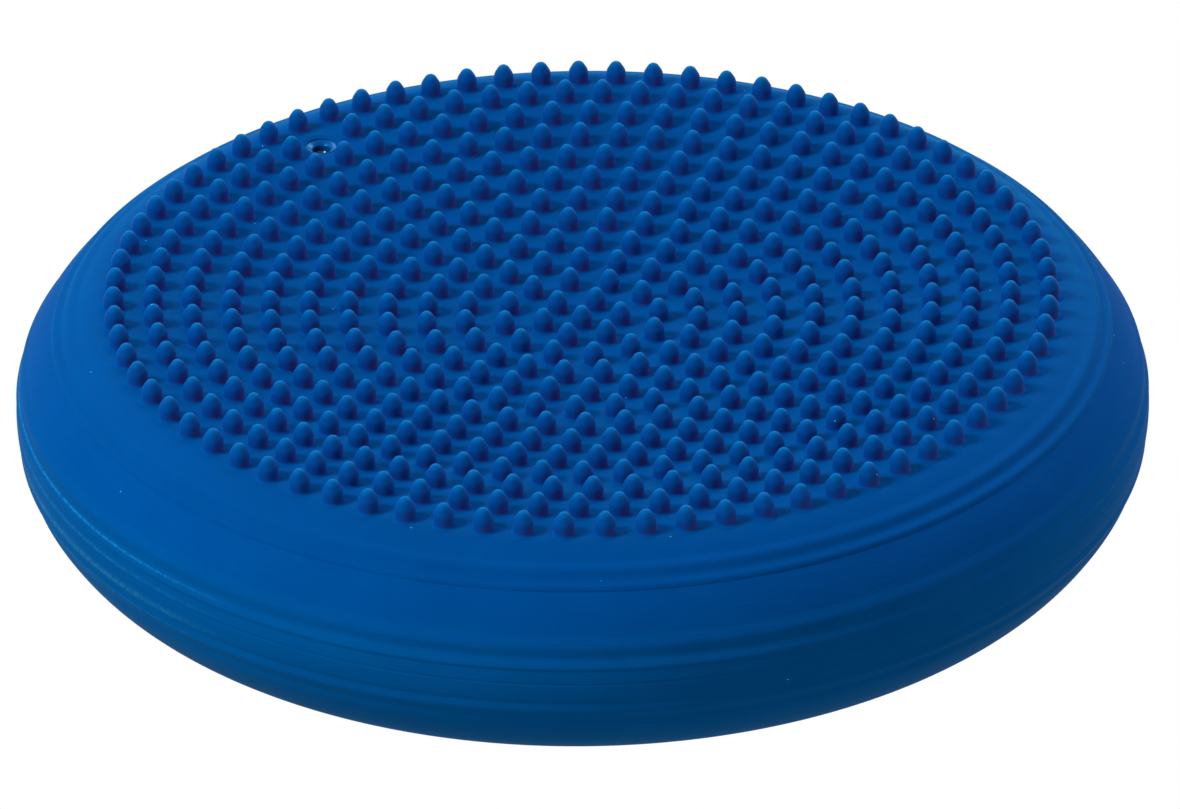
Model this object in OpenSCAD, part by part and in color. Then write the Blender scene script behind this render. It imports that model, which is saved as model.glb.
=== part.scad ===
// Air-filled balance cushion: a round soft disc with a nubbed, gently dished top and a needle valve.
// Millimetres, +Z up. The origin is the middle of the footprint, on the floor.
// +Y points from the middle towards the valve.
// The rubber skin is one bag on the real cushion. Here it is cut into zones along its moulded lines,
// so that each zone can move by itself when the cushion sinks and tilts.

/* [Cushion] */
// Diameter at the equator
cushion_d = 330; // [320:1:345]
// Height of the equator above the floor
equator_h = 33.5; // [32:0.5:36]
// Thickness of the skin
skin = 3.6; // [3:0.2:4.2]

/* [Upper side] */
// Radius of the barrel above the equator
upper_barrel_r = 28; // [27:0.5:29]
// Slope angle where the barrel meets the shoulder
upper_barrel_angle = 25; // [23:1:27]
// Radius of the shoulder
shoulder_r = 38; // [37:0.5:39]
// Slope angle where the shoulder meets the edge of the top
shoulder_angle = 64; // [63:1:66]
// Radius of the edge of the top
edge_r = 15; // [13:0.5:17]

/* [Top] */
// Depth of the dish below its crest
dish_depth = 9.5; // [8.5:0.1:10.5]
// Radius of the dish
dish_r = 820; // [790:10:850]

/* [Lower side] */
// Radius of the barrel below the equator
lower_barrel_r = 37; // [36:0.5:39]
// Slope angle where the barrel meets the heel
lower_barrel_angle = 22; // [20:1:24]
// Radius of the heel, between the barrel and the footprint's edge
heel_r = 33; // [32:0.5:34]
// Slope angle where the heel meets the footprint's edge
heel_angle = 62; // [60:1:64]
// Inner radius of the flat ring that the cushion stands on
footprint_r = 112; // [100:1:120]
// Rise of the underside inside that ring
underside_rise = 4; // [2:0.5:6]

/* [Moulded ribs] */
// Distance of the inner pair of ribs from the equator
inner_rib_h = 6.5; // [6:0.1:6.6]
// Distance of the outer pair of ribs from the equator
outer_rib_h = 13; // [12:0.5:14]
// Radius of a side rib's section
rib_r = 1.3; // [1.2:0.1:1.5]
// Radius of the section of the two ridges on the shoulder
ridge_r = 1.7; // [1.5:0.1:2]
// How far ribs and ridges stand out of the skin
rib_out = 0.45; // [0.3:0.05:0.6]

/* [Nubs] */
// Distance between two rings of nubs
nub_pitch = 11.3; // [11:0.1:11.4]
// Height of a nub above the skin
nub_h = 6.9; // [6.4:0.1:7.6]
// Radius of a nub at its foot
nub_foot_r = 3.1; // [2.8:0.1:3.3]
// Radius of a nub where its sides start to lean in
nub_waist_r = 3; // [2.75:0.05:3]
// Height of that place above the skin
nub_waist_h = 2.8; // [2.4:0.1:3.2]
// Radius of a nub's round tip
nub_tip_r = 2; // [1.8:0.05:2.2]

/* [Valve] */
// Radius of the pocket's mouth
pocket_r = 4.4; // [4.2:0.1:4.6]
// Depth of the pocket
pocket_depth = 2.6; // [2.2:0.1:3]
// Radius of the bore that holds the valve core
core_bore_r = 3; // [2.8:0.1:3.2]
// Radius of the guide hole for a pump needle
needle_r = 1.05; // [1:0.05:1.2]
// Depth of the guide hole
needle_depth = 8; // [7:0.5:9]
// Outer radius of the housing
housing_r = 6; // [5.8:0.1:6.4]
// Radius of the housing's flange
flange_r = 11; // [10:0.5:12]
// Length of the housing below the skin's top
housing_len = 14; // [13:0.5:16]

/* [Hidden] */
$fn = 96;
rubber = [0, 0.31, 0.62];
band_rubber = [0, 0.26, 0.52];
nub_rubber = [0, 0.25, 0.6];
valve_rubber = [0.02, 0.04, 0.14];
CHORD_ERROR = 0.02; // how far an arc's chords may run from the arc
NUB_ROOT = 1; // depth of a nub's root in the skin
NUB_LEAN = 31; // how far a nub's sides lean in below its tip

function polar(r, angle) = r * [cos(angle), sin(angle)];

// Points along an arc, without its first one
function arc(centre, r, from, to) =
    let (steps = ceil(abs(to - from) / (2 * acos(1 - CHORD_ERROR / r))))
    [for (i = [1 : steps]) centre + polar(r, from + (to - from) * i / steps)];

function reversed(list) = [for (i = [len(list) - 1 : -1 : 0]) list[i]];

// Centres of the arcs of the outer profile, from the equator up
cushion_r = cushion_d / 2;
upper_barrel_c = [cushion_r - upper_barrel_r, equator_h];
shoulder_c = upper_barrel_c + polar(upper_barrel_r - shoulder_r, upper_barrel_angle);
edge_c = shoulder_c + polar(shoulder_r - edge_r, shoulder_angle);
crest = edge_c + [0, edge_r];
crest_arc_r = (pow(crest.x, 2) + pow(dish_depth, 2)) / (2 * dish_depth) - dish_r;
crest_c = crest - [0, crest_arc_r];
dish_c = [0, crest.y - dish_depth + dish_r];
dish_angle = asin(crest.x / (dish_r + crest_arc_r));
dish_edge_r = dish_r * sin(dish_angle);

// The same, from the equator down
lower_barrel_c = [cushion_r - lower_barrel_r, equator_h];
heel_c = lower_barrel_c + polar(lower_barrel_r - heel_r, -lower_barrel_angle);
toe_r = (heel_c.y - heel_r * sin(heel_angle)) / (1 - sin(heel_angle));
toe_c = heel_c + polar(heel_r - toe_r, -heel_angle);
underside_r = (pow(footprint_r, 2) + pow(underside_rise, 2)) / (2 * underside_rise);
underside_c = [0, underside_rise - underside_r];
underside_angle = acos(footprint_r / underside_r);

// Half of the cushion's outline, or of a line inside it, from the middle of the top to the middle
// of the underside. X is the distance from the axis and Y is the height.
function top_outline(inset) = concat(
    [[0, crest.y - dish_depth - inset]],
    arc(dish_c, dish_r + inset, -90, -90 + dish_angle),
    arc(crest_c, crest_arc_r - inset, 90 + dish_angle, 90)
);
function side_outline(inset) = concat(
    arc(edge_c, edge_r - inset, 90, shoulder_angle),
    arc(shoulder_c, shoulder_r - inset, shoulder_angle, upper_barrel_angle),
    arc(upper_barrel_c, upper_barrel_r - inset, upper_barrel_angle, 0),
    arc(lower_barrel_c, lower_barrel_r - inset, 0, -lower_barrel_angle),
    arc(heel_c, heel_r - inset, -lower_barrel_angle, -heel_angle),
    arc(toe_c, toe_r - inset, -heel_angle, -90)
);
function under_outline(inset) = concat(
    [[footprint_r, inset]],
    arc(underside_c, underside_r + inset, underside_angle, 90)
);
function outline(inset) = concat(top_outline(inset), side_outline(inset), under_outline(inset));

// Where the skin is cut into zones
base_cut_r = toe_c.x + 2;
base_edge_h = equator_h - 25;
lower_ring_h = equator_h - 21;
band_half_h = inner_rib_h + 1.3;
shoulder_h = equator_h + 23.5;
panel_cut_r = crest.x + 6;

// Nub rings: the nubs of a ring stand about one pitch apart, and each ring starts on the valve's radius
RINGS = 12;
VALVE_RING = 11;
valve_y = VALVE_RING * nub_pitch;
function nubs_in(ring) = round(2 * PI * ring - 0.1);
function ring_name(ring) = str("nub_ring_", ring < 10 ? "0" : "", ring);

// Height of the top at a distance from the middle
function top_at(r) =
    r < dish_edge_r
        ? dish_c.y - sqrt(pow(dish_r, 2) - pow(r, 2))
        : crest_c.y + sqrt(pow(crest_arc_r, 2) - pow(r - crest.x, 2));

// Heights of the valve
mouth_h = top_at(valve_y - housing_r);
seat_h = mouth_h - pocket_depth;
housing_h = mouth_h - housing_len;
flange_h = top_at(valve_y - flange_r) - skin - 2;

// Skin

// The skin between two heights and two distances from the axis, with any beads on it
module skin_zone(r0, r1, h0, h1) {
    rotate_extrude()
        intersection() {
            union() {
                polygon(concat(outline(skin), reversed(outline(0))));
                children();
            }
            translate([r0, h0])
                square([r1 - r0, h1 - h0]);
        }
}

// The section of a bead on an arc of the outline, at a slope angle
module bead(centre, r, angle, bead_r) {
    translate(centre + polar(r + rib_out - bead_r, angle))
        circle(bead_r, $fn = 32);
}

function slope_at(centre, r, h) = asin((h - centre.y) / r);

module base_panel() {
    color(rubber)
        skin_zone(0, base_cut_r, 0, equator_h);
}

module base_edge() {
    color(rubber)
        skin_zone(base_cut_r, cushion_r, 0, base_edge_h);
}

module lower_ring() {
    color(rubber)
        skin_zone(base_cut_r, cushion_r, base_edge_h, lower_ring_h);
}

module lower_wall() {
    rib_slope = slope_at(lower_barrel_c, lower_barrel_r, equator_h - outer_rib_h);
    color(rubber)
        skin_zone(base_cut_r, cushion_r + 1, lower_ring_h, equator_h - band_half_h)
            bead(lower_barrel_c, lower_barrel_r, rib_slope, rib_r);
}

module equator_band() {
    upper_slope = slope_at(upper_barrel_c, upper_barrel_r, equator_h + inner_rib_h);
    lower_slope = slope_at(lower_barrel_c, lower_barrel_r, equator_h - inner_rib_h);
    color(band_rubber)
        skin_zone(base_cut_r, cushion_r + 1, equator_h - band_half_h, equator_h + band_half_h) {
            bead(upper_barrel_c, upper_barrel_r, upper_slope, rib_r);
            bead(lower_barrel_c, lower_barrel_r, lower_slope, rib_r);
        }
}

module upper_wall() {
    rib_slope = slope_at(shoulder_c, shoulder_r, equator_h + outer_rib_h);
    color(rubber)
        skin_zone(base_cut_r, cushion_r + 1, equator_h + band_half_h, shoulder_h)
            bead(shoulder_c, shoulder_r, rib_slope, rib_r);
}

module shoulder_ring() {
    inner_ridge_slope = 59;
    outer_ridge_slope = 51;
    color(rubber)
        skin_zone(panel_cut_r, cushion_r, shoulder_h, crest.y + 1) {
            bead(shoulder_c, shoulder_r, inner_ridge_slope, ridge_r);
            bead(shoulder_c, shoulder_r, outer_ridge_slope, ridge_r);
        }
}

module top_panel() {
    color(rubber)
        difference() {
            skin_zone(0, panel_cut_r, equator_h, crest.y + 1);
            translate([0, valve_y, equator_h])
                cylinder(r = housing_r, h = 2 * equator_h);
        }
}

// Nubs

// Straight foot, leaning side and round tip
module nub() {
    tip_c = [0, nub_h - nub_tip_r];
    neck = tip_c + polar(0.97 * nub_tip_r, NUB_LEAN);
    flank = neck + [0.75, -0.75 / tan(NUB_LEAN)];
    color(nub_rubber)
        rotate_extrude($fn = 32)
            intersection() {
                union() {
                    polygon([
                        [0, -NUB_ROOT],
                        [nub_foot_r, -NUB_ROOT],
                        [nub_foot_r, 0],
                        [nub_waist_r, nub_waist_h],
                        flank,
                        neck,
                        [0, neck.y]
                    ]);
                    translate(tip_c)
                        circle(nub_tip_r, $fn = 32);
                }
                translate([0, -NUB_ROOT])
                    square([nub_foot_r, nub_h + NUB_ROOT]);
            }
}

module centre_nub() {
    translate([0, 0, top_at(0)])
        nub();
}

module nub_ring(ring) {
    count = nubs_in(ring);
    first = ring == VALVE_RING ? 1 : 0;
    for (i = [first : count - 1])
        rotate(90 + i * 360 / count)
            translate([ring * nub_pitch, 0, top_at(ring * nub_pitch)])
                nub();
}

// Valve

// A bush through the top, with a flange that is bonded to the underside of the top
module valve_housing() {
    chamfer = 0.6;
    color(rubber)
        difference() {
            union() {
                translate([0, valve_y, housing_h])
                    cylinder(r = housing_r, h = mouth_h - housing_h);
                difference() {
                    translate([0, valve_y, flange_h])
                        cylinder(r = flange_r, h = 2 * skin);
                    above_inner_face();
                }
            }
            translate([0, valve_y, seat_h])
                cylinder(r = pocket_r, h = 2 * pocket_depth);
            translate([0, valve_y, mouth_h - chamfer])
                cylinder(r1 = pocket_r, r2 = pocket_r + chamfer, h = chamfer);
            translate([0, valve_y, housing_h - 1])
                cylinder(r = core_bore_r, h = housing_len + 1);
        }
}

// Everything above the inner face of the top
module above_inner_face() {
    inner = top_outline(skin);
    last = inner[len(inner) - 1];
    rotate_extrude()
        polygon(concat(inner, [last + [flange_r, 0], last + [flange_r, 2 * skin], [0, last.y + 2 * skin]]));
}

// A self-sealing plug: domed head on the seat, stem in the bore, and a foot that stops it pulling out
module valve_core() {
    head_r = pocket_r - 0.3;
    head_h = 1.4;
    dome_r = 10;
    foot_r = core_bore_r + 1.2;
    foot_h = 2.5;
    color(valve_rubber)
        translate([0, valve_y, 0])
            difference() {
                rotate_extrude()
                    intersection() {
                        union() {
                            polygon([
                                [0, housing_h - foot_h],
                                [core_bore_r, housing_h - foot_h],
                                [foot_r, housing_h],
                                [core_bore_r, housing_h],
                                [core_bore_r, seat_h],
                                [head_r, seat_h],
                                [head_r, mouth_h],
                                [0, mouth_h]
                            ]);
                        }
                        translate([0, seat_h + head_h - dome_r])
                            circle(dome_r);
                        translate([0, housing_h - foot_h])
                            square([foot_r, housing_len + foot_h]);
                    }
                translate([0, 0, seat_h + head_h - needle_depth])
                    cylinder(r = needle_r, h = needle_depth + head_h);
            }
}

base_panel();
base_edge();
lower_ring();
lower_wall();
equator_band();
upper_wall();
shoulder_ring();
top_panel();
centre_nub();
for (ring = [1 : RINGS])
    nub_ring(ring);
valve_housing();
valve_core();
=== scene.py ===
"""Looks of an air-filled balance cushion: a blue rubber bag with a nubbed top and a needle valve.

Lengths are in millimetres up to the point where a mesh is made, and in metres from there on.
"""

import math

import bpy
import numpy as np
from mathutils import Matrix, Vector


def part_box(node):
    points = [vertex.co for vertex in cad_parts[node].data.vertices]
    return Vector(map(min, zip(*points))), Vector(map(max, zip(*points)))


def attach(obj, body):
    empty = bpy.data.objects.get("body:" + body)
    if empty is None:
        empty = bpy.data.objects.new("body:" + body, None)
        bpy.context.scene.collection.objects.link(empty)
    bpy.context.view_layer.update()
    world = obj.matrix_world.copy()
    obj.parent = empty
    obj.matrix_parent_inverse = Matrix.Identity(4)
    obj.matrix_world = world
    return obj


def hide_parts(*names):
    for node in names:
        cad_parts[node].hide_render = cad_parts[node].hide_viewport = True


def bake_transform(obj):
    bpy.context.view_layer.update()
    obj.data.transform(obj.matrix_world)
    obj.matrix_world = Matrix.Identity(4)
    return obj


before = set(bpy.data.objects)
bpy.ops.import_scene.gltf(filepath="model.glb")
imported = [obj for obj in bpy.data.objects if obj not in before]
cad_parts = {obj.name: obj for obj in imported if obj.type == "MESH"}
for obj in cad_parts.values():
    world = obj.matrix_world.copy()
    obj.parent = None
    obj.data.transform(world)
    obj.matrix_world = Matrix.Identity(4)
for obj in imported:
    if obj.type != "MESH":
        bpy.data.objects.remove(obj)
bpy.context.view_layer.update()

MM = 0.001
SEGMENTS = 512  # facets round the cushion
INSIDE_STEP = 4  # the inside takes one point for so many of the outside


# ---------------------------------------------------------------- the cushion's outline

def polar(r, degrees):
    a = math.radians(degrees)
    return np.array([r * math.cos(a), r * math.sin(a)])


def box_mm(node):
    low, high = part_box(node)
    return np.array(low) / MM, np.array(high) / MM


band_low, band_high = box_mm("equator_band")
CUSHION_R = round(float(band_high[0]), 2)
EQUATOR_H = round(float(band_low[2] + band_high[2]) / 2, 2)
VALVE_Y = round(float(sum(box_mm("valve_core")[i][1] for i in (0, 1))) / 2, 2)

# Radii and slopes of the arcs, the same as the frame's
UPPER_BARREL_R, UPPER_BARREL_SLOPE = 28, 25
SHOULDER_R, SHOULDER_SLOPE = 38, 64
EDGE_R = 15
DISH_DEPTH, DISH_R = 9.5, 820
LOWER_BARREL_R, LOWER_BARREL_SLOPE = 37, 22
HEEL_R, HEEL_SLOPE = 33, 62
FOOTPRINT_R, UNDERSIDE_RISE = 112, 4
SKIN = 3.4

upper_barrel_c = np.array([CUSHION_R - UPPER_BARREL_R, EQUATOR_H])
shoulder_c = upper_barrel_c + polar(UPPER_BARREL_R - SHOULDER_R, UPPER_BARREL_SLOPE)
edge_c = shoulder_c + polar(SHOULDER_R - EDGE_R, SHOULDER_SLOPE)
crest = edge_c + np.array([0, EDGE_R])
crest_arc_r = (crest[0] ** 2 + DISH_DEPTH ** 2) / (2 * DISH_DEPTH) - DISH_R
crest_c = crest - np.array([0, crest_arc_r])
dish_c = np.array([0, crest[1] - DISH_DEPTH + DISH_R])
dish_slope = math.degrees(math.asin(crest[0] / (DISH_R + crest_arc_r)))
dish_edge_r = DISH_R * math.sin(math.radians(dish_slope))

lower_barrel_c = np.array([CUSHION_R - LOWER_BARREL_R, EQUATOR_H])
heel_c = lower_barrel_c + polar(LOWER_BARREL_R - HEEL_R, -LOWER_BARREL_SLOPE)
heel_sin = math.sin(math.radians(HEEL_SLOPE))
toe_r = (heel_c[1] - HEEL_R * heel_sin) / (1 - heel_sin)
toe_c = heel_c + polar(HEEL_R - toe_r, -HEEL_SLOPE)
underside_r = (FOOTPRINT_R ** 2 + UNDERSIDE_RISE ** 2) / (2 * UNDERSIDE_RISE)
underside_c = np.array([0, UNDERSIDE_RISE - underside_r])
underside_slope = math.degrees(math.acos(FOOTPRINT_R / underside_r))

# Where the skin is cut into zones
SHOULDER_H = EQUATOR_H + 23.5
BASE_EDGE_H = EQUATOR_H - 25
BASE_CUT_R = toe_c[0] + 2


def top_at(r):
    """Height of the nubbed top at a distance from the axis."""
    r = np.asarray(r, float)
    dish = dish_c[1] - np.sqrt(np.maximum(DISH_R ** 2 - r ** 2, 0))
    rim = crest_c[1] + np.sqrt(np.maximum(crest_arc_r ** 2 - (r - crest[0]) ** 2, 0))
    return np.where(r < dish_edge_r, dish, rim)


def arc(centre, r, start, end, spacing):
    """Points and outward normals along an arc, ends included."""
    steps = max(2, math.ceil(abs(math.radians(end - start)) * r / spacing))
    a = np.radians(np.linspace(start, end, steps + 1))
    normal = np.stack([np.cos(a), np.sin(a)], 1)
    return centre + r * normal, normal


def joined(*runs):
    """Runs of points and normals in one, each starting where the last one ended."""
    points = np.vstack([runs[0][0]] + [p[1:] for p, n in runs[1:]])
    normals = np.vstack([runs[0][1]] + [n[1:] for p, n in runs[1:]])
    return points, normals


def smooth_curve(x, knots):
    """Passes smoothly through (x, y) knots and levels out at each of them."""
    xs, ys = np.array(knots, float).T
    i = np.clip(np.searchsorted(xs, x) - 1, 0, len(xs) - 2)
    t = np.clip((x - xs[i]) / (xs[i + 1] - xs[i]), 0, 1)
    return ys[i] + (ys[i + 1] - ys[i]) * t * t * (3 - 2 * t)


# How far the moulded lines stand out of the side, by height above the equator
SIDE_RELIEF = [
    (-20, 0), (-14.8, 0.12), (-12.3, -0.14), (-9.1, 0.38), (-6.4, -0.16), (-5.3, 0), (-0.55, 0),
    (0, -0.14), (0.55, 0), (3.9, -0.06), (5.0, 0.3), (7.6, -0.36), (10.9, 0.46), (14.0, 0),
]
# The two ridges on the shoulder, by height above the equator
RIDGE_RELIEF = [
    (20.5, 0), (22.9, -0.12), (24.3, 0.56), (25.8, -0.08), (27.4, 0.6), (29.0, 0),
]


def with_relief(points, normals, knots):
    out = smooth_curve(points[:, 1] - EQUATOR_H, knots)
    return points + normals * out[:, None]


# ---------------------------------------------------------------- meshes

def new_object(name, vertices, faces, smooth=True):
    """A mesh object from vertices in millimetres. Faces may be a list of arrays of equal-sided faces."""
    mesh = bpy.data.meshes.new(name)
    loops = np.concatenate([f.ravel() for f in faces])
    counts = np.concatenate([np.full(len(f), f.shape[1]) for f in faces])
    starts = np.concatenate([[0], np.cumsum(counts)[:-1]])
    mesh.vertices.add(len(vertices))
    mesh.vertices.foreach_set("co", (np.asarray(vertices) * MM).astype(np.float32).ravel())
    mesh.loops.add(len(loops))
    mesh.loops.foreach_set("vertex_index", loops.astype(np.int32))
    mesh.polygons.add(len(counts))
    mesh.polygons.foreach_set("loop_start", starts.astype(np.int32))
    mesh.polygons.foreach_set("use_smooth", np.full(len(counts), smooth))
    mesh.update(calc_edges=True)
    mesh.validate()
    obj = bpy.data.objects.new(name, mesh)
    bpy.context.scene.collection.objects.link(obj)
    return obj


def sharp_edges(obj, degrees=40):
    """Keeps the shading of a hard edge apart on its two sides."""
    obj.data.set_sharp_from_angle(angle=math.radians(degrees))


def circle_grid(radii, heights, segments=SEGMENTS):
    """Vertices of rings about the axis, each starting at +Y: shape (rings, segments, 3)."""
    a = math.pi / 2 + np.arange(segments) * 2 * math.pi / segments
    r, h = np.asarray(radii)[:, None], np.asarray(heights)[:, None]
    return np.stack([r * np.cos(a), r * np.sin(a), np.broadcast_to(h, (len(radii), segments))], 2)


def strip_quads(first, second, segments):
    """Quads between two closed rings, given by their first vertex numbers."""
    i = np.arange(segments)
    j = (i + 1) % segments
    return np.stack([first + i, first + j, second + j, second + i], 1)


def revolved(name, loop, segments=SEGMENTS):
    """A closed solid of revolution from a closed loop of (radius, height), clockwise from the top.

    Points on the axis become single vertices.
    """
    loop = np.asarray(loop, float)
    vertices, first, faces = [], [], []
    count = 0
    for r, h in loop:
        first.append(count)
        if r < 1e-6:
            vertices.append(np.array([[0, 0, h]]))
            count += 1
        else:
            vertices.append(circle_grid([r], [h], segments)[0])
            count += segments
    for k in range(len(loop)):
        m = (k + 1) % len(loop)
        on_axis = loop[k][0] < 1e-6, loop[m][0] < 1e-6
        i = np.arange(segments)
        j = (i + 1) % segments
        if all(on_axis):
            continue
        if on_axis[0]:
            pole = np.full(segments, first[k])
            faces.append(np.stack([pole, first[m] + i, first[m] + j], 1))
        elif on_axis[1]:
            pole = np.full(segments, first[m])
            faces.append(np.stack([first[k] + i, pole, first[k] + j], 1))
        else:
            faces.append(strip_quads(first[k], first[m], segments)[:, ::-1])
    return new_object(name, np.vstack(vertices), faces)


def inside_of(points, normals, thickness=SKIN):
    """The plain inside of a skin, in fewer points than its outside but from end to end."""
    keep = sorted({*range(0, len(points), INSIDE_STEP), len(points) - 1})
    return (points - normals * thickness)[keep]


def shell_loop(points, normals, relief_points):
    """The closed loop of a skin's section: the outside with its relief, then the plain inside, back."""
    return np.vstack([relief_points, inside_of(points, normals)[::-1]])


# ---------------------------------------------------------------- materials

class Nodes:
    """Short ways to add nodes to a new material or world."""

    def __init__(self, owner, output="ShaderNodeOutputMaterial"):
        self.owner = owner
        owner.use_nodes = True
        self.tree = owner.node_tree
        self.tree.nodes.clear()
        self.out = self.tree.nodes.new(output)

    def add(self, kind, values=(), **settings):
        node = self.tree.nodes.new(kind)
        for key, value in settings.items():
            setattr(node, key, value)
        for key, value in dict(values).items():
            self.put(node, key, value)
        return node

    def put(self, node, key, value):
        socket = node.inputs[key]
        if isinstance(value, bpy.types.NodeSocket):
            self.tree.links.new(value, socket)
        elif isinstance(value, bpy.types.Node):
            self.tree.links.new(value.outputs[0], socket)
        else:
            socket.default_value = value

    def math(self, operation, *values, clamp=False):
        node = self.add("ShaderNodeMath", dict(enumerate(values)), operation=operation, use_clamp=clamp)
        return node.outputs[0]

    def ramp(self, value, *stops):
        """A grey or colour ramp. Stops are (place, grey or colour)."""
        node = self.add("ShaderNodeValToRGB", {0: value})
        elements = node.color_ramp.elements
        while len(elements) < len(stops):
            elements.new(0.5)
        for element, (place, colour) in zip(elements, stops):
            element.position = place
            element.color = (*colour, 1) if isinstance(colour, tuple) else (colour, colour, colour, 1)
        return node.outputs[0]

    def noise(self, vector, scale, detail=2.0, roughness=0.5):
        return self.add(
            "ShaderNodeTexNoise", {"Vector": vector, "Scale": scale, "Detail": detail, "Roughness": roughness}
        ).outputs[0]

    def mix(self, factor, a, b):
        node = self.add("ShaderNodeMix", data_type="RGBA")
        self.put(node, 0, factor)
        self.put(node, 6, a)
        self.put(node, 7, b)
        return node.outputs[2]

    def bump(self, height, strength, distance):
        values = {"Height": height, "Strength": strength, "Distance": distance}
        return self.add("ShaderNodeBump", values).outputs[0]


SKIN_BLUE = (0.0003, 0.047, 0.198)
BAND_BLUE = (0.0005, 0.055, 0.194)
# Painted shade: the purplish, darker colour low on a nub stands in for the shade round its foot
NUB_PAINTED_SHADE_BLUE = (0.016, 0.036, 0.186)
NUB_BLUE = (0.003, 0.045, 0.205)
# Painted highlight: the lighter colour at a nub's tip stands in for the light that catches it
NUB_PAINTED_HIGHLIGHT_BLUE = (0.001, 0.078, 0.252)
SCUFF_BLUE = (0.004, 0.10, 0.27)
# Painted highlight: the pale colour on the moulded lines stands in for their shine on one side
PAINTED_HIGHLIGHT_BLUE = (0.3, 0.36, 0.62)
DUST = (0.45, 0.6, 0.75)
SHINE_TINT = (0.02, 0.55, 1.0)
SHEEN_TINT = (0.02, 0.9, 0.95)

# Painted highlights on the moulded lines, pale on one side only, standing in for their shine there: height
# above the equator, half width, strength
PAINTED_HIGHLIGHT_LINES = [(6.6, 0.5, 0.3), (1.6, 0.9, 0.16), (-4.6, 1.9, 0.26), (-8.9, 0.5, 0.2)]
PAINTED_HIGHLIGHT_BEARING = 158  # degrees round the axis


def mottled(n, cloud, colour):
    """A colour that drifts between itself and a slightly darker one."""
    darker = tuple(c * 0.92 for c in colour)
    return n.mix(cloud, (*darker, 1), (*colour, 1))


def scuffs(n, coords):
    """Long faint rubs."""
    stretched = n.add(
        "ShaderNodeMapping", {"Vector": coords, "Scale": (1.0, 2.6, 1.7), "Rotation": (0.3, 0.5, 0.9)}
    )
    return n.ramp(n.noise(stretched.outputs[0], 95.0, 5.0, 0.68), (0.6, 0.0), (0.78, 1.0))


def dust_specks(n, coords):
    """One tiny dot in a few of the cells of a coarse cell pattern."""
    cells = n.add("ShaderNodeTexVoronoi", {"Vector": coords, "Scale": 210.0, "Randomness": 1.0})
    dot = n.math("LESS_THAN", cells.outputs["Distance"], 0.045)
    pick = n.add("ShaderNodeSeparateColor", {0: cells.outputs["Color"]}).outputs[0]
    return n.math("MULTIPLY", dot, n.math("GREATER_THAN", pick, 0.94))


def moulding_streaks(n, angle, height):
    """Fine lines that run round the cushion: a noise stretched along the circumference."""
    around = n.math("MULTIPLY", angle, 9.0)
    up = n.math("MULTIPLY", height, 1500.0)
    line_space = n.add("ShaderNodeCombineXYZ", {0: around, 1: up, 2: 0.0})
    lines = n.noise(line_space.outputs[0], 1.0, 3.0, 0.62)
    return n.ramp(lines, (0.36, 0.0), (0.5, 0.5), (0.66, 1.0))


def with_painted_highlight_lines(n, base, coords, angle, height):
    """The base colour with painted highlights: the moulded lines made pale on one side, standing in for their
    shine.
    """
    side = n.math("COSINE", n.math("SUBTRACT", angle, math.radians(PAINTED_HIGHLIGHT_BEARING)))
    highlight_side = n.ramp(side, (0.8, 0.0), (0.95, 1.0))
    highlight_breakup = n.ramp(n.noise(coords, 900.0, 4.0, 0.7), (0.4, 0.1), (0.62, 1.0))
    for place, half_width, strength in PAINTED_HIGHLIGHT_LINES:
        off = n.math("SUBTRACT", n.math("DIVIDE", height, MM), EQUATOR_H + place)
        near = n.math("SUBTRACT", 1.0, n.math("DIVIDE", n.math("ABSOLUTE", off), half_width), clamp=True)
        highlight_amount = n.math("MULTIPLY", n.math("MULTIPLY", near, strength), n.math("MULTIPLY", highlight_breakup, highlight_side))
        # Painted highlight: pale colour on the moulded lines on one side
        base = n.mix(highlight_amount, base, (*PAINTED_HIGHLIGHT_BLUE, 1))
    return base


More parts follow.
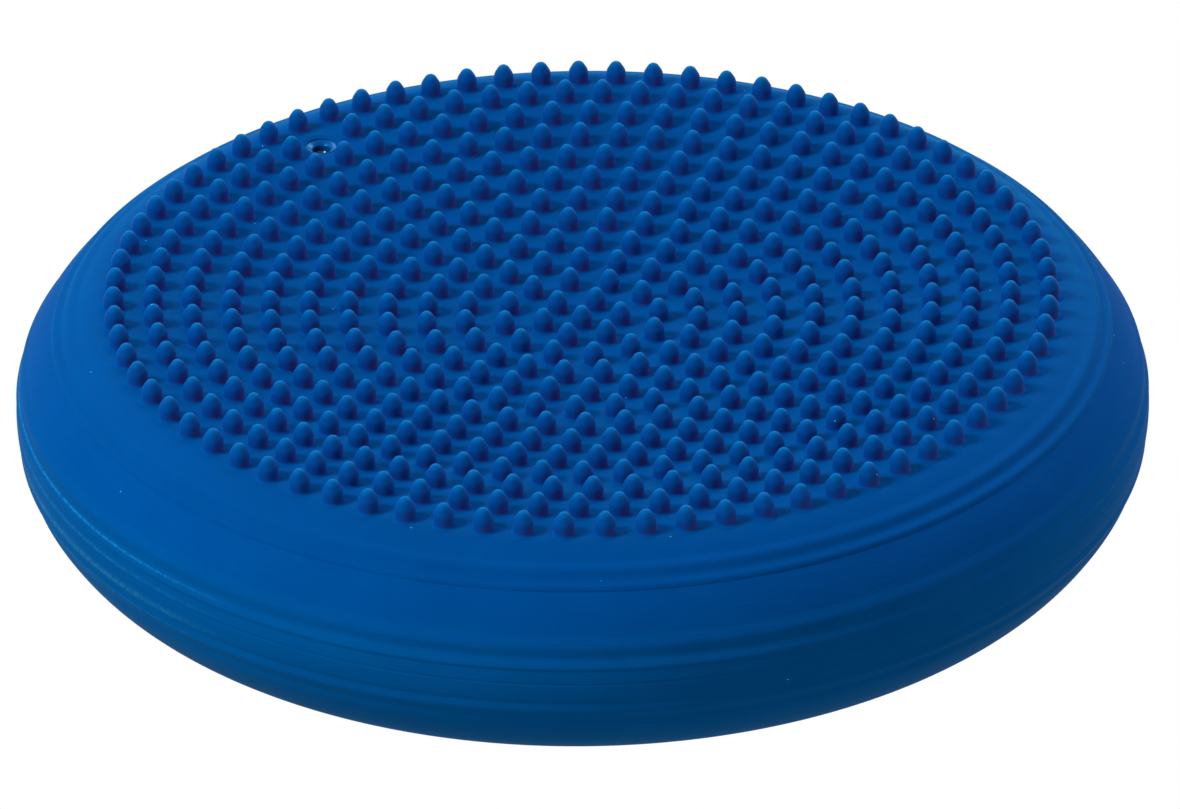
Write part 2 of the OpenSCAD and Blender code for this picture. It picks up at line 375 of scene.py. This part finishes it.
def rubber(name, colour, roughness=0.62, specular=0.014, sheen=0.05, streaks=0.0, nub=False):
    """Matt cast rubber: soft mottling, fine grain, faint scuffs and a few specks of dust. On the walls it adds
    painted highlights along moulded lines, on nubs painted shade low down and a painted highlight at the tip.
    """
    n = Nodes(bpy.data.materials.new(name))
    coords = n.add("ShaderNodeTexCoord").outputs["Object"]
    cloud = n.ramp(n.noise(coords, 38.0, 3.0, 0.55), (0.3, 0.0), (0.72, 1.0))
    base = mottled(n, cloud, colour)

    fine = n.noise(coords, 2600.0, 2.0, 0.6)
    fibres = n.noise(coords, 640.0, 3.0, 0.55)
    rub = scuffs(n, coords)
    grain = n.math("ADD", n.math("MULTIPLY", fine, 0.55), n.math("MULTIPLY", fibres, 0.35))
    rough = n.math("ADD", roughness, n.math("MULTIPLY", rub, 0.08))
    rough = n.math("ADD", rough, n.math("MULTIPLY", n.math("SUBTRACT", fibres, 0.5), 0.12))

    if streaks:
        xyz = n.add("ShaderNodeSeparateXYZ", {0: coords})
        height = xyz.outputs[2]
        angle = n.math("ARCTAN2", xyz.outputs[1], xyz.outputs[0])
        # The band and everything below it is a greener blue than the lip above it
        below = n.ramp(n.math("DIVIDE", height, 2 * EQUATOR_H * MM), (0.62, 1.0), (0.74, 0.0))
        base = n.mix(below, base, mottled(n, cloud, BAND_BLUE))

        lines = moulding_streaks(n, angle, height)
        grain = n.math("ADD", grain, n.math("MULTIPLY", lines, 2.2 * streaks))
        base = n.mix(n.math("MULTIPLY", lines, 0.35 * streaks), base, (*[c * 1.35 for c in colour], 1))
        rough = n.math("ADD", rough, n.math("MULTIPLY", lines, 0.1 * streaks))
        # Painted highlights along the moulded lines on one side
        base = with_painted_highlight_lines(n, base, coords, angle, height)

    if nub:
        # A nub is painted purplish and darker low down, as painted shade, and lighter at its tip, as a painted
        # highlight. At its foot its colour runs into the skin's
        rise = n.add("ShaderNodeAttribute", attribute_name="rise").outputs["Fac"]
        # Painted shade: purplish and darker low on the nub
        base = n.mix(n.ramp(rise, (0.25, 0.0), (0.6, 1.0)), (*NUB_PAINTED_SHADE_BLUE, 1), base)
        base = n.mix(n.ramp(rise, (0.02, 0.0), (0.13, 1.0)), (*SKIN_BLUE, 1), base)
        # Painted highlight: the tip is lighter
        base = n.mix(n.ramp(rise, (0.76, 0.0), (1.0, 1.0)), base, (*NUB_PAINTED_HIGHLIGHT_BLUE, 1))
        specular = n.math("MULTIPLY", n.ramp(rise, (0.15, 0.0), (0.6, 1.0)), specular)

    base = n.mix(n.math("MULTIPLY", rub, 0.10), base, (*SCUFF_BLUE, 1))
    base = n.mix(n.math("MULTIPLY", dust_specks(n, coords), 0.55), base, (*DUST, 1))
    shader = n.add(
        "ShaderNodeBsdfPrincipled",
        {
            "Base Color": base,
            "Roughness": rough,
            "Specular IOR Level": specular,
            "Specular Tint": (*SHINE_TINT, 1),
            "Sheen Weight": sheen,
            "Sheen Roughness": 0.4,
            "Sheen Tint": (*SHEEN_TINT, 1),
            "Normal": n.bump(grain, 0.35, 0.00012),
        },
    )
    n.put(n.out, "Surface", shader)
    return n.owner


def valve_material():
    """Smooth dark rubber insert with small glints."""
    n = Nodes(bpy.data.materials.new("valve_insert"))
    coords = n.add("ShaderNodeTexCoord").outputs["Object"]
    speckle = n.ramp(
        n.noise(coords, 1500.0, 3.0, 0.6), (0.42, (0.006, 0.006, 0.03)), (0.68, (0.02, 0.025, 0.12))
    )
    shader = n.add(
        "ShaderNodeBsdfPrincipled",
        {
            "Base Color": speckle,
            "Roughness": 0.22,
            "Specular IOR Level": 0.4,
            "Normal": n.bump(n.noise(coords, 900.0, 2.0), 0.4, 0.0001),
        },
    )
    n.put(n.out, "Surface", shader)
    return n.owner


def dress(obj, material):
    obj.data.materials.clear()
    obj.data.materials.append(material)


skin_rubber = rubber("skin_rubber", SKIN_BLUE, sheen=0.09)
wall_rubber = rubber("wall_rubber", SKIN_BLUE, roughness=0.6, sheen=0.015, streaks=0.35)
pocket_rubber = rubber("pocket_rubber", SKIN_BLUE, roughness=0.3, specular=0.5)
nub_rubber = rubber("nub_rubber", NUB_BLUE, roughness=0.45, specular=0.03, sheen=0.07, nub=True)
insert_rubber = valve_material()


# ---------------------------------------------------------------- the skin

side = joined(
    arc(edge_c, EDGE_R, 90, SHOULDER_SLOPE, 0.35),
    arc(shoulder_c, SHOULDER_R, SHOULDER_SLOPE, UPPER_BARREL_SLOPE, 0.3),
    arc(upper_barrel_c, UPPER_BARREL_R, UPPER_BARREL_SLOPE, 0, 0.25),
)
lower_side = joined(
    arc(lower_barrel_c, LOWER_BARREL_R, 0, -LOWER_BARREL_SLOPE, 0.25),
    arc(heel_c, HEEL_R, -LOWER_BARREL_SLOPE, -HEEL_SLOPE, 0.5),
    arc(toe_c, toe_r, -HEEL_SLOPE, -90, 0.5),
)


def split_at_height(points, normals, h):
    """The run above a height and the run below it, both with an exact point at that height."""
    k = int(np.argmax(points[:, 1] <= h + 1e-9))
    t = (points[k - 1, 1] - h) / (points[k - 1, 1] - points[k, 1])
    p = points[k - 1] + t * (points[k] - points[k - 1])
    n = normals[k - 1] + t * (normals[k] - normals[k - 1])
    n /= np.linalg.norm(n)
    above = np.vstack([points[:k], p]), np.vstack([normals[:k], n])
    skip = k + 1 if abs(points[k, 1] - h) < 1e-6 else k
    below = np.vstack([p, points[skip:]]), np.vstack([n, normals[skip:]])
    return above, below


top_edge, upper_run = split_at_height(*side, SHOULDER_H)
lower_run, foot_run = split_at_height(*lower_side, BASE_EDGE_H)
sole_start = int(np.argmax(foot_run[0][:, 0] < BASE_CUT_R))
heel_run = foot_run[0][:sole_start], foot_run[1][:sole_start]
toe_run = foot_run[0][sole_start - 1:], foot_run[1][sole_start - 1:]

upper_wall = revolved("upper_wall_skin", shell_loop(*upper_run, with_relief(*upper_run, SIDE_RELIEF)))
lower_wall = revolved("lower_wall_skin", shell_loop(*lower_run, with_relief(*lower_run, SIDE_RELIEF)))
heel_wall = revolved("heel_skin", shell_loop(*heel_run, heel_run[0]))

# The underside: the sole's flat ring, then a shallow dome up to the axis
under_points, under_normals = joined(
    toe_run,
    (np.array([[toe_c[0], 0.0], [FOOTPRINT_R, 0.0]]), np.array([[0.0, -1.0], [0.0, -1.0]])),
    arc(underside_c, underside_r, underside_slope, 90, 4.0),
)
# Seen from inside its circle, the dome's outside faces the other way
under_normals[under_points[:, 0] < FOOTPRINT_R - 1e-6] *= -1
sole = revolved("sole_skin", shell_loop(under_points, under_normals, under_points))

for piece in (upper_wall, lower_wall, heel_wall, sole):
    sharp_edges(piece)
    dress(piece, wall_rubber)


# The top is a grid about the axis with a window left out round the valve. The window is closed by
# loops that run from its border to the pocket's mouth: first two that turn round, then round ones.
POCKET_R = 4.5
LIP_R = 6.0
RECESS = 0.4  # how far the top dips round the pocket
WINDOW_HALF = 8.0
ROUND_FROM_R = LIP_R + 0.6
TURNING_LOOPS = [0.66, 0.33]  # as shares of the way out from the first round loop to the border
ROUND_LOOPS = [ROUND_FROM_R, 6.2, 6.0, 5.8, 5.6, 5.4, 5.2, 5.0, 4.85, 4.7, 4.58, POCKET_R]

# Radii of the grid's rings: wide apart in the dish, close together past the valve, then two more to the crest
dish_r = np.concatenate([
    np.arange(0, VALVE_Y - WINDOW_HALF - 1, 4.0),
    np.arange(VALVE_Y - WINDOW_HALF, VALVE_Y + WINDOW_HALF + 0.1, 1.6),
    [134.3, 136.2],
])
dish_points = np.stack([dish_r, top_at(dish_r)], 1)


def dish_normals(r, step=0.05):
    slope = (top_at(r + step) - top_at(r - step)) / (2 * step)
    n = np.stack([-slope, np.ones_like(slope)], 1)
    return n / np.linalg.norm(n, axis=1)[:, None]


def recess(x, y):
    """How far the top dips at the valve, by distance from the valve's middle."""
    return smooth_curve(np.hypot(x, y - VALVE_Y), [(POCKET_R, RECESS), (LIP_R, 0.0)])


def loop_quads(a, b):
    """Quads between two closed runs of vertex numbers, both clockwise, the second one inside the first."""
    return np.stack([b, np.roll(b, -1), np.roll(a, -1), a], 1)


def top_sheet(points, depth):
    """One side of the top, a depth below the outside. Points run from the axis outwards.

    Returns its vertices, its faces seen from above, the last loop round the pocket and its outer rim.
    """
    first_ring = int(np.argmin(abs(points[:len(dish_r), 0] - (VALVE_Y - WINDOW_HALF))))
    last_ring = int(np.argmin(abs(points[:len(dish_r), 0] - (VALVE_Y + WINDOW_HALF))))
    half = round(WINDOW_HALF / (2 * math.pi * VALVE_Y / SEGMENTS))
    grid = circle_grid(points[1:, 0], points[1:, 1])
    vertices = np.vstack([[[0, 0, points[0, 1]]], grid.reshape(-1, 3)])
    i = np.arange(SEGMENTS)
    in_window = (i >= SEGMENTS - half) | (i < half)
    faces = [np.stack([np.zeros(SEGMENTS, int), 1 + i, 1 + (i + 1) % SEGMENTS], 1)]
    for ring in range(len(points) - 2):
        quads = strip_quads(1 + ring * SEGMENTS, 1 + (ring + 1) * SEGMENTS, SEGMENTS)[:, ::-1]
        if first_ring - 1 <= ring < last_ring - 1:
            quads = quads[~in_window]
        faces.append(quads)

    def at(ring, segment):
        return 1 + (ring - 1) * SEGMENTS + segment % SEGMENTS

    # The window's border, clockwise seen from above
    border = [at(first_ring, s) for s in range(-half, half)]
    border += [at(r, half) for r in range(first_ring, last_ring)]
    border += [at(last_ring, s) for s in range(half, -half, -1)]
    border += [at(r, -half) for r in range(last_ring, first_ring, -1)]

    centre = np.array([0, VALVE_Y])
    away = vertices[border][:, :2] - centre
    distance = np.linalg.norm(away, axis=1)
    outwards = away / distance[:, None]
    loop_radii = [ROUND_FROM_R + (distance - ROUND_FROM_R) * share for share in TURNING_LOOPS]
    loop_radii += [np.full(len(border), r) for r in ROUND_LOOPS]
    loop = np.array(border)
    for r_loop in loop_radii:
        xy = centre + outwards * r_loop[:, None]
        z = top_at(np.hypot(xy[:, 0], xy[:, 1])) - depth
        if not depth:
            z = z - recess(xy[:, 0], xy[:, 1])
        next_loop = np.arange(len(vertices), len(vertices) + len(border))
        vertices = np.vstack([vertices, np.column_stack([xy, z])])
        faces.append(loop_quads(loop, next_loop))
        loop = next_loop
    return vertices, faces, loop, at(len(points) - 1, i)


outer_v, outer_f, outer_mouth, outer_rim = top_sheet(
    np.vstack([dish_points, with_relief(*top_edge, RIDGE_RELIEF)]), 0
)
inner_v, inner_f, inner_mouth, inner_rim = top_sheet(
    np.vstack([dish_points - dish_normals(dish_r) * SKIN, inside_of(*top_edge)]), SKIN
)
shift = len(outer_v)  # the inner sheet's vertices come after the outer one's
faces = [*outer_f, *(f[:, ::-1] + shift for f in inner_f)]
faces.append(loop_quads(outer_mouth, inner_mouth + shift))
faces.append(loop_quads(outer_rim, inner_rim + shift))
top = new_object("top_skin", np.vstack([outer_v, inner_v]), faces)
sharp_edges(top)
dress(top, skin_rubber)

# ---------------------------------------------------------------- nubs

NUB_H = 6.9
NUB_SIDES = 32  # facets round a nub
NUB_TIP_R = 2.0
NUB_TURN = 31  # slope angle of the straight flank between the round tip and the round waist
NUB_WAIST_R = 3.6  # radius of the waist's arc
NUB_BODY_R = 2.98  # half of a nub's width at the foot of that arc
NUB_FILLET_R = 0.95
NUB_SPACING, NUB_FILLET_SPACING = 0.4, 0.25  # between points along the arcs
NUB_SKIRT = (0.3, 0.04)  # how far a nub's foot runs on past its fillet, and how far it dips under the skin
NUB_ROOT = 0.6  # how far a nub goes down into the skin
NUB_LEVEL_H = 2.5  # from here up, a nub no longer follows the slope that it stands on

nub_tip_c = np.array([0, NUB_H - NUB_TIP_R])
nub_flank_top = nub_tip_c + polar(NUB_TIP_R, NUB_TURN)
nub_waist_x = NUB_BODY_R - NUB_WAIST_R
nub_waist_top = polar(NUB_WAIST_R, NUB_TURN)  # from the waist's centre
nub_flank_run = nub_waist_x + nub_waist_top[0] - nub_flank_top[0]
nub_flank_drop = nub_flank_run / math.tan(math.radians(NUB_TURN))
nub_waist_c = np.array([nub_waist_x, nub_flank_top[1] - nub_flank_drop - nub_waist_top[1]])
nub_fillet_c = np.array([NUB_BODY_R + NUB_FILLET_R, NUB_FILLET_R])
NUB_PROFILE = np.vstack([
    arc(nub_tip_c, NUB_TIP_R, 90, NUB_TURN, NUB_SPACING)[0],
    arc(nub_waist_c, NUB_WAIST_R, NUB_TURN, 0, NUB_SPACING)[0],
    arc(nub_fillet_c, NUB_FILLET_R, 180, 262, NUB_FILLET_SPACING)[0],
    [[nub_fillet_c[0] + NUB_SKIRT[0], -NUB_SKIRT[1]], [nub_fillet_c[0] + NUB_SKIRT[0], -NUB_ROOT]],
])
NUB_PROFILE[0, 0] = 0  # exactly on the axis


def nubs(name, places):
    """One piece of all the nubs at these (x, y) places, standing upright on the top."""
    i = np.arange(NUB_SIDES)
    j = (i + 1) % NUB_SIDES
    a = i * 2 * math.pi / NUB_SIDES
    r, h = NUB_PROFILE[1:, :1], NUB_PROFILE[1:, 1:]
    last = 1 + (len(r) - 1) * NUB_SIDES
    per_nub = last + NUB_SIDES + 1
    sides = np.vstack([
        strip_quads(1 + k * NUB_SIDES, 1 + (k + 1) * NUB_SIDES, NUB_SIDES)[:, ::-1] for k in range(len(r) - 1)
    ])
    cap = np.stack([np.zeros(NUB_SIDES, int), 1 + i, 1 + j], 1)
    bottom = np.stack([np.full(NUB_SIDES, per_nub - 1), last + j, last + i], 1)
    ends = np.vstack([cap, bottom])
    level = np.clip(h / NUB_LEVEL_H, 0, 1)
    rise = np.concatenate([[1], np.repeat(np.clip(h[:, 0] / NUB_H, 0, 1), NUB_SIDES), [0]])
    vertices = []
    for cx, cy in places:
        x, y = cx + r * np.cos(a), cy + r * np.sin(a)
        stand = top_at(math.hypot(cx, cy))
        z = h + top_at(np.hypot(x, y)) * (1 - level) + stand * level
        body = np.stack([x, y, z], 2).reshape(-1, 3)
        vertices.append(np.vstack([[[cx, cy, stand + NUB_H]], body, [[cx, cy, stand - NUB_ROOT]]]))
    shifts = np.arange(len(places))[:, None, None] * per_nub
    obj = new_object(
        name, np.vstack(vertices), [(sides + shifts).reshape(-1, 4), (ends + shifts).reshape(-1, 3)]
    )
    attribute = obj.data.attributes.new("rise", "FLOAT", "POINT")
    attribute.data.foreach_set("value", np.tile(rise, len(places)).astype(np.float32))
    dress(obj, nub_rubber)
    return obj


RINGS = 12
VALVE_RING = 11
NUB_PITCH = VALVE_Y / VALVE_RING

centre_nub = nubs("centre_nub_look", [(0, 0)])
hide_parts("centre_nub")
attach(centre_nub, "top")
for ring in range(1, RINGS + 1):
    count = round(2 * math.pi * ring - 0.1)
    skip = 1 if ring == VALVE_RING else 0
    turns = np.radians(90 + np.arange(skip, count) * 360 / count)
    places = ring * NUB_PITCH * np.stack([np.cos(turns), np.sin(turns)], 1)
    piece = nubs(f"nubs_{ring:02d}_look", places)
    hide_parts(f"nub_ring_{ring:02d}")
    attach(piece, "top")

# ---------------------------------------------------------------- valve

mouth_h = float(box_mm("valve_housing")[1][2])
housing_h = float(box_mm("valve_housing")[0][2])


def round_part(name, loop, material, segments=64):
    """A closed solid of revolution about the valve's axis."""
    obj = revolved(name, loop, segments)
    obj.data.transform(Matrix.Translation((0, VALVE_Y * MM, 0)))
    sharp_edges(obj, 35)
    dress(obj, material)
    return obj


def from_height(base, pairs):
    """Points of a section from (radius, height above a base height) pairs."""
    return [(r, base + h) for r, h in pairs]


# The housing: a rounded lip, a flange under the skin, a bush, its bore, and the saucer in the pocket's mouth
seat_h = mouth_h - 2.6  # where the core's rim sits
LIP_ROUND = 0.12
SAUCER_R, SAUCER_DROP = 2.75, 1.1
BUSH_R, BORE_R = 6.0, 3.05
CORE_R = 3.0
lip_c = np.array([POCKET_R - LIP_ROUND - 0.01, mouth_h - LIP_ROUND])
housing_loop = [
    *arc(lip_c, LIP_ROUND, 90, 0, 0.12)[0],
    *from_height(mouth_h, [(POCKET_R - 0.02, -5.2), (10.6, -6.6), (11.0, -7.3), (10.6, -7.8), (BUSH_R, -8.0)]),
    *from_height(housing_h, [(BUSH_R, 0.5), (5.5, 0), (3.4, 0), (BORE_R, 0.4)]),
    *from_height(seat_h, [(BORE_R, -0.45), (2.95, -0.25), (2.85, -0.15), (SAUCER_R, 0.9)]),
    *from_height(mouth_h, [(SAUCER_R, -SAUCER_DROP), (3.1, -0.75), (3.6, -0.35), (3.95, -0.16), (4.2, -0.04)]),
]
housing = round_part("valve_housing_look", housing_loop, pocket_rubber)
# The core: a plug with a round rim, a flange below the bush and a blind hole for the needle
core_loop = [
    *from_height(seat_h, [(1.0, -1.1), (1.12, -0.85), (1.5, -0.7), (1.95, -0.2), (2.15, 0.05)]),
    *from_height(seat_h, [(2.25, -0.15), (2.3, -0.4), (2.8, -0.55), (CORE_R, -0.75)]),
    *from_height(housing_h, [(CORE_R, 0.1), (3.3, 0), (4.2, 0), (4.2, -0.4)]),
    *from_height(housing_h, [(3.2, -2.3), (2.8, -2.5), (0, -2.5)]),
    *from_height(seat_h, [(0, -6.5), (0.95, -6.2)]),
]
core = round_part("valve_core_look", core_loop, insert_rubber, 48)
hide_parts("valve_housing")
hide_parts("valve_core")
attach(housing, "top")
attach(core, "top")

# ---------------------------------------------------------------- how the skin moves

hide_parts("top_panel", "shoulder_ring")
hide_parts("upper_wall", "equator_band")
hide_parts("lower_wall", "lower_ring")
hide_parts("base_edge")
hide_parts("base_panel")
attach(top, "top")
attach(sole, "base")
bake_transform(heel_wall)
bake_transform(lower_wall)
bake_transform(upper_wall)

# ---------------------------------------------------------------- stage, camera and light

# Where the camera stands, seen from the cushion: its bearing, height and distance
VIEW_BEARING = math.radians(-128.5)
VIEW_ELEVATION = math.radians(28.99)
VIEW_DISTANCE = 2.773
SENSOR_WIDTH, LENS = 36, 291.3
AIM_H = 0.0585
ROLL = math.radians(-0.6)
# The cushion sits above and a little left of the middle of the picture
AIM_DOWN = math.radians(0.5235)
AIM_RIGHT = math.radians(0.0435)


def direction(bearing, elevation):
    return Vector((
        math.cos(elevation) * math.cos(bearing),
        math.cos(elevation) * math.sin(bearing),
        math.sin(elevation),
    ))


to_camera = direction(VIEW_BEARING, VIEW_ELEVATION)
camera_data = bpy.data.cameras.new("camera")
camera_data.sensor_width = SENSOR_WIDTH
camera_data.lens = LENS
camera_data.clip_end = 50
camera = bpy.data.objects.new("camera", camera_data)
bpy.context.scene.collection.objects.link(camera)
camera.location = Vector((0, 0, AIM_H)) + to_camera * VIEW_DISTANCE
facing = to_camera.to_track_quat("Z", "Y").to_matrix()
aimed = facing @ Matrix.Rotation(-AIM_RIGHT, 3, "Y") @ Matrix.Rotation(-AIM_DOWN, 3, "X")
rolled = aimed @ Matrix.Rotation(ROLL, 3, "Z")
camera.matrix_world = Matrix.Translation(camera.location) @ rolled.to_4x4()
bpy.context.scene.camera = camera

view_right = direction(VIEW_BEARING + math.pi / 2, 0)
view_away = -direction(VIEW_BEARING, 0)


LIGHT_DISTANCE = 2.2
LIT_POINT = Vector((0, 0, 0.04))


def softbox(name, bearing, elevation, width, height, power, colour):
    """An area light. Its bearing is in degrees from the picture's right, 90 being behind the cushion."""
    data = bpy.data.lights.new(name, "AREA")
    data.shape = "RECTANGLE"
    data.size, data.size_y = width, height
    data.energy = power
    data.color = colour
    light = bpy.data.objects.new(name, data)
    turn, rise = math.radians(bearing), math.radians(elevation)
    level = view_right * math.cos(turn) + view_away * math.sin(turn)
    offset = (level * math.cos(rise) + Vector((0, 0, math.sin(rise)))) * LIGHT_DISTANCE
    light.location = LIT_POINT + offset
    light.rotation_mode = "QUATERNION"
    light.rotation_quaternion = offset.to_track_quat("Z", "Y")
    bpy.context.scene.collection.objects.link(light)


softbox("key", 200, 44, 0.62, 0.62, 56, (0.1, 0.97, 1.0))
softbox("left_low", 195, 8, 1.2, 0.8, 9.5, (0.1, 0.9, 0.97))
softbox("back_left", 135, 30, 1.2, 1.0, 14, (0.2, 0.8, 0.98))
softbox("back", 90, 30, 2.0, 1.0, 24, (0.3, 0.87, 1.0))
softbox("back_right", 45, 30, 1.2, 1.0, 29, (0.3, 0.7, 1.0))
softbox("right", 20, 20, 1.0, 0.8, 14, (0.4, 0.95, 1.0))
softbox("front", 265, 10, 1.4, 1.0, 6, (0.1, 0.8, 1.0))
softbox("warm_right", -24, 20, 1.0, 0.6, 30, (1.0, 0.0, 0.05))

# The room lights the cushion softly and bluish. The white table throws more light up than the room throws
# down. The backdrop shows white, also in the dull shine
ROOM_COLOUR = (0.05, 1.0, 0.885)
TABLE_LIGHT, ROOM_LIGHT = 0.72, 0.42
room = Nodes(bpy.data.worlds.new("studio"), "ShaderNodeOutputWorld")
generated = room.add("ShaderNodeTexCoord").outputs["Generated"]
upwards = room.add("ShaderNodeSeparateXYZ", {0: generated}).outputs[2]
level = room.add("ShaderNodeMapRange", {0: upwards, 1: -0.1, 2: 0.1, 3: TABLE_LIGHT, 4: ROOM_LIGHT})
soft_light = room.add("ShaderNodeBackground", {"Color": (*ROOM_COLOUR, 1), "Strength": level})
backdrop = room.add("ShaderNodeBackground", {"Color": (0.8, 0.8, 0.8, 1), "Strength": 1.1})
path = room.add("ShaderNodeLightPath").outputs
seen = room.math("MAXIMUM", path["Is Camera Ray"], path["Is Glossy Ray"])
room.put(room.out, "Surface", room.add("ShaderNodeMixShader", {0: seen, 1: soft_light, 2: backdrop}))
bpy.context.scene.world = room.owner

FLOOR_HALF = 40e3
FLOOR_H = -0.05  # just clear of the underside
floor_nodes = Nodes(bpy.data.materials.new("studio_floor"))
floor_shader = floor_nodes.add(
    "ShaderNodeBsdfPrincipled",
    {
        "Base Color": (0, 0, 0, 1), "Roughness": 1.0, "Specular IOR Level": 0.0,
        "Emission Color": (1, 1, 1, 1), "Emission Strength": 1.0,
    },
)
floor_nodes.put(floor_nodes.out, "Surface", floor_shader)
floor = new_object(
    "studio_floor_plane",
    [(x * FLOOR_HALF, y * FLOOR_HALF, FLOOR_H) for x, y in ((-1, -1), (1, -1), (1, 1), (-1, 1))],
    [np.array([[0, 1, 2, 3]])],
    smooth=False,
)
floor.data.materials.append(floor_nodes.owner)

# The floor shows white, and lights nothing: the dark side of the cushion stays dark
floor.visible_diffuse = False
floor.visible_glossy = False

bpy.context.scene.view_settings.view_transform = "Standard"
